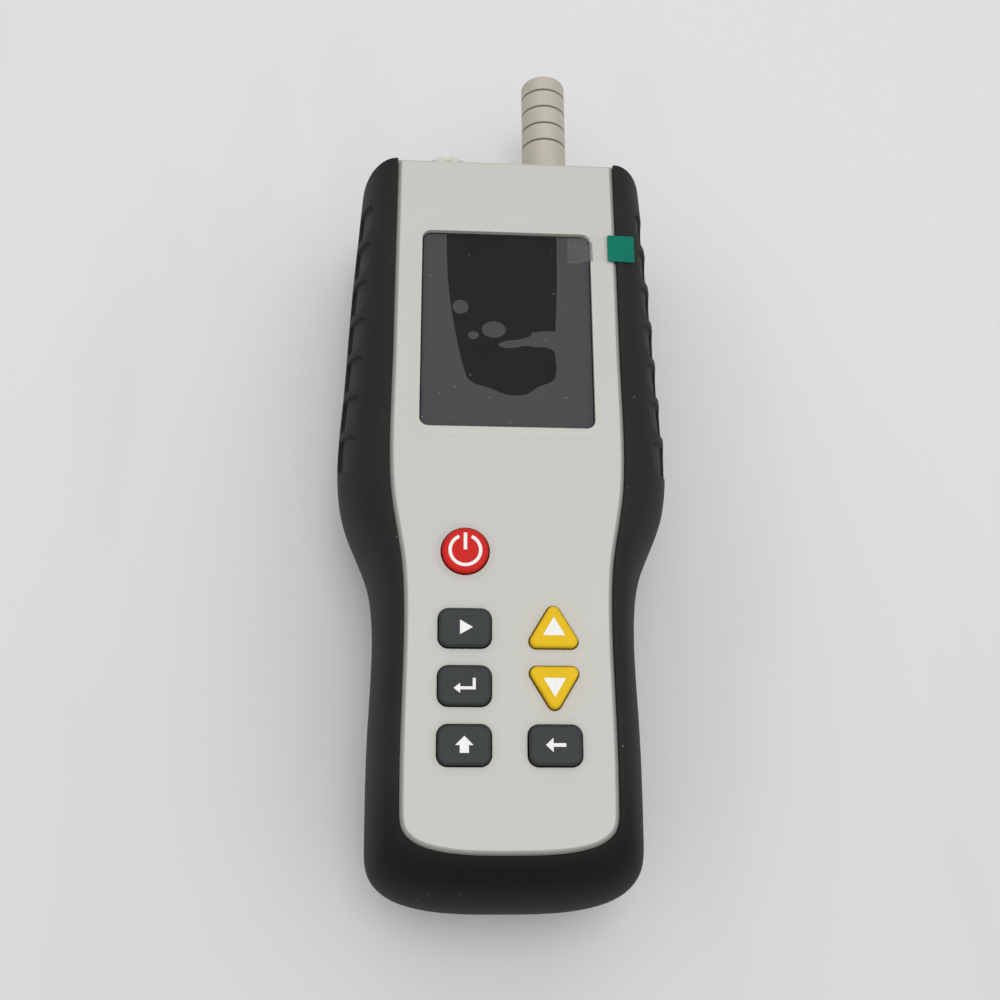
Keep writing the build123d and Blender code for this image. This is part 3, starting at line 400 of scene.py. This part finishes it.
inlay_finish = Finish("white inlay")
inlay_cloud = inlay_finish.noise(0.8 * MM, 2.0)
inlay_finish.set(Base_Color=inlay_finish.mix(inlay_cloud, paint(240, 240, 236), paint(228, 228, 224)))
inlay_finish.set(Roughness=0.45 + inlay_cloud * 0.1)


def key_top(key):
    """Middle of a key's top face."""
    low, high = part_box(f"{key}_key")
    return Vector(((low.x + high.x) / 2, (low.y + high.y) / 2, high.z))


def finish_sign(key, sign):
    """Gives a flat sign its thickness and its place on the key, and lets it ride on the key's body."""
    bmesh.ops.remove_doubles(sign, verts=sign.verts, dist=0.01 * MM)
    drawn = bmesh.ops.extrude_face_region(sign, geom=sign.faces[:])
    raised = [part for part in drawn["geom"] if isinstance(part, bmesh.types.BMVert)]
    bmesh.ops.translate(sign, verts=raised, vec=(0, 0, SIGN_DEPTH))
    bmesh.ops.recalc_face_normals(sign, faces=sign.faces)
    foot = key_top(key) + Vector((0, 0, SIGN_RISE - SIGN_DEPTH))
    bmesh.ops.translate(sign, verts=sign.verts, vec=foot)
    mesh = bpy.data.meshes.new(f"{key}_sign")
    sign.to_mesh(mesh)
    sign.free()
    piece = bpy.data.objects.new(f"{key}_sign", mesh)
    bpy.context.scene.collection.objects.link(piece)
    dress(piece, inlay_finish)
    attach(piece, f"{key}_button")


def add_outline(sign, corners):
    """One flat face with those corners, given in millimetres about the middle of the key."""
    sign.faces.new([sign.verts.new((x * MM, y * MM, 0)) for x, y in corners])


# %% Power sign: a ring open at the top, and a bar through the gap, in millimetres
RING_INNER, RING_OUTER = 2.8, 3.49
RING_GAP = math.radians(24)   # half the gap
BAR_HALF = 0.36
BAR_LOW, BAR_HIGH = 0.1, 3.7

power_sign = bmesh.new()
ring_end = [power_sign.verts.new((0, radius * MM, 0)) for radius in (RING_INNER, RING_OUTER)]
ring_edge = power_sign.edges.new(ring_end)
bmesh.ops.rotate(power_sign, verts=ring_end, cent=(0, 0, 0), matrix=Matrix.Rotation(RING_GAP, 3, "Z"))
bmesh.ops.spin(
    power_sign, geom=[*ring_end, ring_edge], cent=(0, 0, 0), axis=(0, 0, 1),
    angle=math.tau - 2 * RING_GAP, steps=48, use_duplicate=False,
)
bar = [(-BAR_HALF, BAR_LOW), (BAR_HALF, BAR_LOW), (BAR_HALF, BAR_HIGH), (-BAR_HALF, BAR_HIGH)]
add_outline(power_sign, bar)
finish_sign("power", power_sign)

# %% The other signs, each one outline in millimetres
UP_SIGN = [(-2.25, -1.85), (2.25, -1.85), (0.0, 2.0)]
SIGN_OUTLINES = {
    "run": [(-1.0, -1.5), (1.6, 0.0), (-1.0, 1.5)],
    "enter": [
        (-2.2, -0.6), (-0.9, -1.6), (-0.9, -0.9), (2.2, -0.9), (2.2, 1.4),
        (1.6, 1.4), (1.6, -0.3), (-0.9, -0.3), (-0.9, 0.4),
    ],
    "shift": [
        (0.0, 1.7), (1.8, -0.1), (0.9, -0.1), (0.9, -1.6),
        (-0.9, -1.6), (-0.9, -0.1), (-1.8, -0.1),
    ],
    "back": [
        (-2.0, 0.0), (-0.5, -1.4), (-0.5, -0.35), (2.0, -0.35),
        (2.0, 0.35), (-0.5, 0.35), (-0.5, 1.4),
    ],
    "up": UP_SIGN,
    "down": [(x, -y) for x, y in reversed(UP_SIGN)],
}
for key, corners in SIGN_OUTLINES.items():
    sign = bmesh.new()
    add_outline(sign, corners)
    finish_sign(key, sign)
print("signs:", "power", *SIGN_OUTLINES)

# %% [markdown]
# ## Display and film
# The window is a dark clear lens with the unlit display below it. A thin film still covers it: where
# the film has settled on the lens it is nearly invisible, and where air is trapped it scatters light and
# looks grey. One closed sheet with two finishes shows that. Its outlines are flat curves: the film's
# edge, the settled patch inside it, and the air bubbles inside the patch. A filled curve leaves the
# inside of every second outline empty, so the same curves give first the hazy part, then the clear one.

# %% Lens finish
lens_finish = Finish("dark clear lens")
lens_cloud = lens_finish.noise(14 * MM, 2.0)
lens_finish.set(Base_Color=lens_finish.mix(lens_cloud, paint(32, 33, 33), paint(27, 28, 28)))
lens_finish.set(Roughness=0.15 + lens_cloud * 0.04, Specular_IOR_Level=0.05)
dress(nodes["display_window"], lens_finish)
lens_low, lens_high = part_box("display_window")
print("lens in mm:", [round(side / MM, 1) for side in lens_high - lens_low])

# %% Film outlines, in millimetres
FILM_CORNER = 1.7
FILM_LIFT = 0.03 * MM      # air under the film
film_low, film_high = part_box("protective_film")
film_middle = (film_low + film_high) / 2
film_half = (film_high - film_low) / 2 / MM
WINDOW_MIDDLE = 122.8      # height of the window's middle on the instrument, for the outlines below
PATCH_INSET = 0.05         # the patch ends just inside the film's edge, so that the two never coincide
PATCH_TOP = WINDOW_MIDDLE + film_half.y - PATCH_INSET
SETTLED_PATCH = [
    (-13.6, PATCH_TOP), (-13.0, 133.0), (-11.4, 122.0), (-9.3, 112.6), (-8.4, 110.4), (-3.3, 108.3),
    (-0.3, 107.1), (1.5, 106.9), (4.0, 107.1), (6.8, 109.0), (10.2, 110.8), (10.8, 112.8), (10.7, 115.5),
    (10.2, 117.8), (5.9, 118.6), (4.4, 118.8), (1.0, 118.2), (-1.0, 118.3), (-1.8, 119.0), (-1.0, 119.6),
    (4.4, 120.8), (6.0, 121.9), (7.4, 122.4), (10.8, 122.5), (11.3, 133.0), (11.5, PATCH_TOP),
]
SHARP_CORNERS = (0, 23, 25)   # places in that list
# middle of each bubble across and along the instrument, then its two radii
BUBBLES = [(-10.3, 128.0, 1.75, 1.7), (-2.9, 122.6, 2.65, 2.0), (-7.4, 121.1, 1.2, 0.95)]
print("film in mm:", [round(2 * half, 1) for half in film_half.xy])


def close_spline(spline, corners):
    """Draws a closed polygon, given in millimetres about the middle of the film."""
    spline.points.add(len(corners) - 1)
    for point, (x, y) in zip(spline.points, corners):
        point.co = (x * MM, y * MM, 0, 1)
    spline.use_cyclic_u = True


def film_edge(curve):
    """Rounded rectangle of the film's edge."""
    width, height = film_half.x, film_half.y
    spline = curve.splines.new("POLY")
    corners = []
    for turn, (x, y) in enumerate(((1, 1), (-1, 1), (-1, -1), (1, -1))):
        for step in range(7):
            angle = math.radians(90 * turn + 15 * step)
            across = x * (width - FILM_CORNER) + FILM_CORNER * math.cos(angle)
            along = y * (height - FILM_CORNER) + FILM_CORNER * math.sin(angle)
            corners.append((across, along))
    close_spline(spline, corners)


def patch_edge(curve):
    """Outline of the settled patch: smooth but for a few corners."""
    spline = curve.splines.new("BEZIER")
    spline.bezier_points.add(len(SETTLED_PATCH) - 1)
    for index, (point, (x, y)) in enumerate(zip(spline.bezier_points, SETTLED_PATCH)):
        point.co = (x * MM, (y - WINDOW_MIDDLE) * MM, 0)
        kind = "VECTOR" if index in SHARP_CORNERS else "AUTO"
        point.handle_left_type = point.handle_right_type = kind
    spline.use_cyclic_u = True
    spline.resolution_u = 6


def bubble_edges(curve):
    """An oval for each bubble."""
    for x, y, across, along in BUBBLES:
        angles = [math.tau * step / 28 for step in range(28)]
        ring = [(x + across * math.cos(a), y - WINDOW_MIDDLE + along * math.sin(a)) for a in angles]
        close_spline(curve.splines.new("POLY"), ring)


def filled(name, *edges):
    """Flat mesh between the outlines that the given functions draw."""
    curve = bpy.data.curves.new(name, "CURVE")
    curve.dimensions = "2D"
    curve.fill_mode = "BOTH"
    for draw in edges:
        draw(curve)
    carrier = bpy.data.objects.new(name, curve)
    bpy.context.scene.collection.objects.link(carrier)
    bpy.context.view_layer.update()
    drawn = carrier.evaluated_get(bpy.context.evaluated_depsgraph_get())
    mesh = bpy.data.meshes.new_from_object(drawn)
    bpy.data.objects.remove(carrier)
    return mesh


# %% The film sheet
film = bmesh.new()
film.from_mesh(filled("hazy_film", film_edge, patch_edge, bubble_edges))
hazy_faces = len(film.faces)
film.from_mesh(filled("settled_film", patch_edge, bubble_edges))
film.faces.ensure_lookup_table()
for face in film.faces[hazy_faces:]:
    face.material_index = 1
bmesh.ops.remove_doubles(film, verts=film.verts, dist=0.002 * MM)
bmesh.ops.recalc_face_normals(film, faces=film.faces)
if sum(face.normal.z for face in film.faces) < 0:
    bmesh.ops.reverse_faces(film, faces=film.faces)
bmesh.ops.translate(film, verts=film.verts, vec=(film_middle.x, film_middle.y, film_low.z + FILM_LIFT))
raised = bmesh.ops.extrude_face_region(film, geom=film.faces[:], use_keep_orig=True)
top = [part for part in raised["geom"] if isinstance(part, bmesh.types.BMVert)]
bmesh.ops.translate(film, verts=top, vec=(0, 0, film_high.z - film_low.z - FILM_LIFT))
bmesh.ops.recalc_face_normals(film, faces=film.faces)
film_mesh = bpy.data.meshes.new("peel_off_film")
film.to_mesh(film_mesh)
film.free()
film_mesh.shade_flat()
film_sheet = bpy.data.objects.new("peel_off_film", film_mesh)
bpy.context.scene.collection.objects.link(film_sheet)
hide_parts("protective_film")
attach(film_sheet, "root")
print("film faces:", len(film_mesh.polygons))


# %% Film finishes
def film_finish(name, haze):
    """Thin film that lets most light through and scatters the rest."""
    finish = Finish(name)
    cloud = finish.noise(9 * MM, 2.0)
    lint = finish.specks(3.5 * MM, 0.12 * MM)
    clear = haze + cloud * haze * 0.15
    finish.set(Base_Color=finish.mix(lint, paint(196, 199, 204), paint(235, 235, 235)))
    finish.set(Roughness=0.25 + cloud * 0.05, Alpha=clear + lint * 0.4)
    finish.set(Normal=finish.bump(finish.noise(6 * MM), 0.02 * MM), Specular_IOR_Level=0.1)
    return finish


HAZES = {"hazy film": 0.052, "settled film": 0.004}
for name, haze in HAZES.items():
    film_mesh.materials.append(film_finish(name, haze).material)
print("film finishes:", [material.name for material in film_mesh.materials])

# %% [markdown]
# ## Tape and pull tab
# A strip of clear tape lifts the film by a green tab. Tape that has been pressed down by hand is full
# of fine crackle, so the lines where a noise crosses its middle value are a little hazier and rougher
# than the rest. The tab is soft plastic, slightly uneven in colour and in its surface.

# %% Tape and tab finishes
CLEAR_TAPE = 0.035         # share of the light that plain tape scatters
CRACKLE = 0.06             # what a line of crackle adds to it

tape_finish = Finish("crinkled clear tape")
ripple = tape_finish.noise(2.2 * MM, 4.0) - 0.5
crinkle = 1 - ripple.maths("ABSOLUTE", ripple).above(0.012, 0.02)
tape_finish.set(Base_Color=paint(208, 209, 208), Roughness=0.3 + crinkle * 0.2)
tape_finish.set(Specular_IOR_Level=0.1, Alpha=CLEAR_TAPE + crinkle * CRACKLE)
tape_finish.set(Normal=tape_finish.bump(crinkle, 0.01 * MM))
dress(nodes["film_tape"], tape_finish)

tab_finish = Finish("green pull tab")
tab_cloud = tab_finish.noise(2.5 * MM, 2.0)
tab_finish.set(Base_Color=tab_finish.mix(tab_cloud, paint(2, 118, 99), paint(0, 107, 88)))
tab_finish.set(Roughness=0.45 + tab_cloud * 0.1, Specular_IOR_Level=0.12)
tab_finish.set(Normal=tab_finish.bump(tab_cloud, 0.05 * MM))
dress(nodes["film_pull_tab"], tab_finish)
print("tape scatters from", CLEAR_TAPE, "to", round(CLEAR_TAPE + CRACKLE, 3))

# %% [markdown]
# ## Turned metal
# The inlet is turned on a lathe, brushed along its length and nickel plated. Lathe marks are fine rings
# round the axis, so one pattern changes fast along the tube and hardly at all round it; the brushing is
# the same pattern the other way. Both are noise, stretched by a Mapping node. The hose grooves get
# painted shade: whatever lies nearer to the axis than the tube's outer face, but for the tip, is darker.

# %% Metal finishes
def turned_metal(name, light, dark, rough, metal=1.0):
    """Metal with fine rings along Y and brushed streaks between two tints."""
    finish = Finish(name)
    rings = finish.noise(1.2 * MM, 3.0, stretch=(0.05, 8.0, 0.05))
    brushed = finish.noise(0.5 * MM, 2.0, stretch=(1.0, 0.04, 1.0))
    tint = finish.mix(finish.noise(5 * MM, 3.0) * 0.5 + brushed * 0.5, light, dark)
    finish.set(Base_Color=tint, Metallic=metal, Roughness=rough + rings * 0.1)
    finish.set(Normal=finish.bump(rings, 0.004 * MM, finish.rounded(0.08 * MM)))
    finish.tint = tint
    return finish


nickel = turned_metal("turned nickel plate", paint(200, 195, 181), paint(176, 171, 156), 0.45, 0.25)
brass = turned_metal("turned brass", paint(214, 178, 104), paint(200, 160, 90), 0.3)
steel = turned_metal("zinc plated steel", paint(188, 190, 192), paint(170, 172, 176), 0.35)
black_metal = turned_metal("black anodised metal", paint(46, 46, 48), paint(38, 38, 40), 0.4)
metals = {
    nickel: ("inlet_nozzle",),
    brass: ("inlet_nut", "tripod_insert", "laser_module"),
    steel: ("shell_screws", "door_screws", "board_screws", "sensor_screws", "fan_shaft"),
    black_metal: ("sensor_block", "sensor_lid"),
}
for finish, members in metals.items():
    for node in members:
        dress(nodes[node], finish)

# %% Painted shade in the inlet's grooves
GROOVE_MOUTH = 5.35 * MM   # whatever lies nearer to the tube's axis is inside a groove
TIP_EDGE = 1.2 * MM        # the rounded tip is nearer too, and gets no painted shade
EDGE_FADE = 0.1 * MM

tube_low, tube_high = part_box("inlet_nozzle")
axis = (tube_low + tube_high) / 2
across = nickel.node(
    "ShaderNodeMapping",
    values={"Vector": nickel.place, "Location": (-axis.x, 0, -axis.z), "Scale": (1, 0, 1)},
)
from_axis = nickel.node(
    "ShaderNodeVectorMath", {"operation": "LENGTH"}, {"Vector": across}, output="Value",
)
along = nickel.node("ShaderNodeSeparateXYZ", values={"Vector": nickel.place}, output="Y")
in_groove = 1 - from_axis.above(GROOVE_MOUTH, EDGE_FADE)
groove_shade = in_groove * (1 - along.above(tube_high.y - TIP_EDGE, EDGE_FADE))
# painted shade: the grooves are darkened towards a dark grey-brown
nickel.set(Base_Color=nickel.mix(groove_shade * 0.75, nickel.tint, paint(84, 80, 68)))
print("inlet axis in mm:", round(axis.x / MM, 2), round(axis.z / MM, 2))

# %% [markdown]
# ## Finishes inside
# What lies inside hardly shows, but someone who opens the model sees it. Each group gets a finish from
# one function: two near tints, a grain size and a roughness.


# %% Plain finishes
def plain(name, light, dark, size, rough, rise=0.01 * MM):
    """Grainy finish between two near tints."""
    finish = Finish(name)
    grain = finish.noise(size, 3.0)
    finish.set(Base_Color=finish.mix(grain, light, dark), Roughness=rough + grain * 0.1)
    finish.set(Normal=finish.bump(grain, rise))
    return finish


inside = {
    plain("black plastic", paint(40, 41, 42), paint(32, 33, 34), 0.3 * MM, 0.5): (
        "lcd_holder", "buzzer", "air_duct", "fan_housing", "fan_rotor", "board_chips"),
    plain("circuit board", paint(24, 92, 50), paint(18, 78, 42), 0.8 * MM, 0.35): (
        "main_board", "detector_board", "climate_sensor_board"),
    plain("grey silicone sheet", paint(150, 152, 150), paint(136, 138, 136), 0.6 * MM, 0.5): ("key_mat",),
    plain("carbon rubber", paint(28, 28, 28), paint(20, 20, 20), 0.2 * MM, 0.6): (
        "inlet_seal", *[f"{key}_contact" for key in key_colours]),
    plain("black foam", paint(38, 38, 38), paint(22, 22, 22), 0.35 * MM, 0.9, 0.1 * MM): (
        "lcd_gasket", "battery_foam"),
    plain("dark display glass", paint(26, 27, 30), paint(20, 21, 24), 4 * MM, 0.15): ("lcd_glass",),
    plain("white light guide", paint(226, 228, 228), paint(214, 216, 216), 3 * MM, 0.4): (
        "lcd_backlight",),
    plain("blue shrink sleeve", paint(30, 66, 140), paint(22, 54, 120), 2 * MM, 0.3): ("battery_pack",),
    plain("clear silicone tube", paint(206, 206, 200), paint(190, 190, 184), 1 * MM, 0.3): (
        "inlet_hose",),
}
for finish, members in inside.items():
    for node in members:
        dress(nodes[node], finish)
print("pieces inside:", sum(len(members) for members in inside.values()))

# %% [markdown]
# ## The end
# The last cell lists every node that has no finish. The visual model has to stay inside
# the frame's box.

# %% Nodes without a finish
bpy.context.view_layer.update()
undressed = [
    name for name, node in nodes.items()
    if not node.data.materials or not node.data.materials[0].use_nodes
]
print("nodes without a finish:", undressed)
